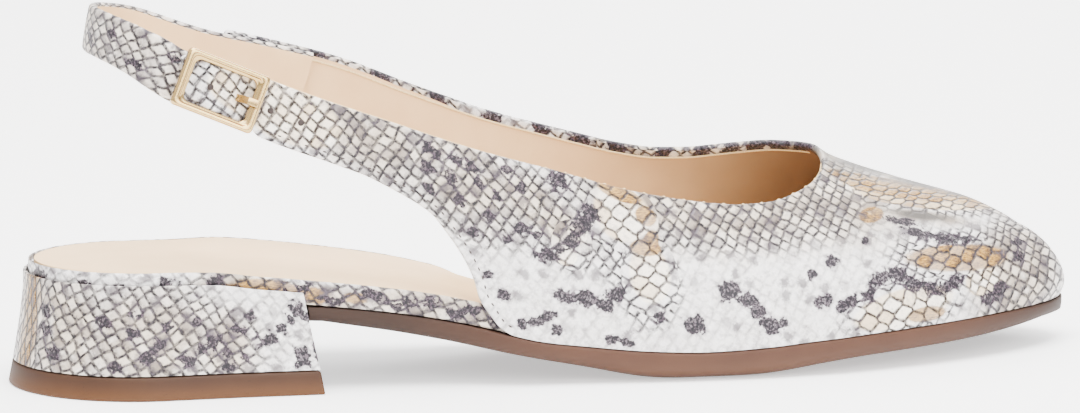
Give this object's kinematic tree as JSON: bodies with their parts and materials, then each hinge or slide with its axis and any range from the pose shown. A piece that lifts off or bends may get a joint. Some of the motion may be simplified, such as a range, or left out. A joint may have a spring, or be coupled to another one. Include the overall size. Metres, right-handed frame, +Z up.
{
  "type": "slingback pump",
  "caption": "Right slingback pump with a closed almond toe, a low block heel, a stacked insole rim and a heel strap with a small rectangular buckle.",
  "frame": {"origin": "on the floor under the middle of the heel's top piece", "axes": "+X to the toe, +Y to the medial side, +Z up; the floor is Z = 0 under both the heel and the ball"},
  "size_m": [0.2615, 0.0799, 0.0889],
  "materials": {
    "snake_leather": "embossed snake scales, off-white with purple-grey spots and gold foil, slight metallic sheen",
    "lining_leather": "smooth matt beige lining leather",
    "sole_rubber": "brown moulded rubber, satin",
    "pale_gold": "polished pale gold plating"
  },
  "bodies": {
    "root": {"outsole": "sole_rubber", "insole_board": "snake_leather", "insole_sock": "lining_leather", "heel_block": "snake_leather", "heel_top_piece": "sole_rubber", "upper": "snake_leather", "sling_strap": "snake_leather", "buckle_frame": "pale_gold", "buckle_prong": "pale_gold"}
  },
  "joints": []
}
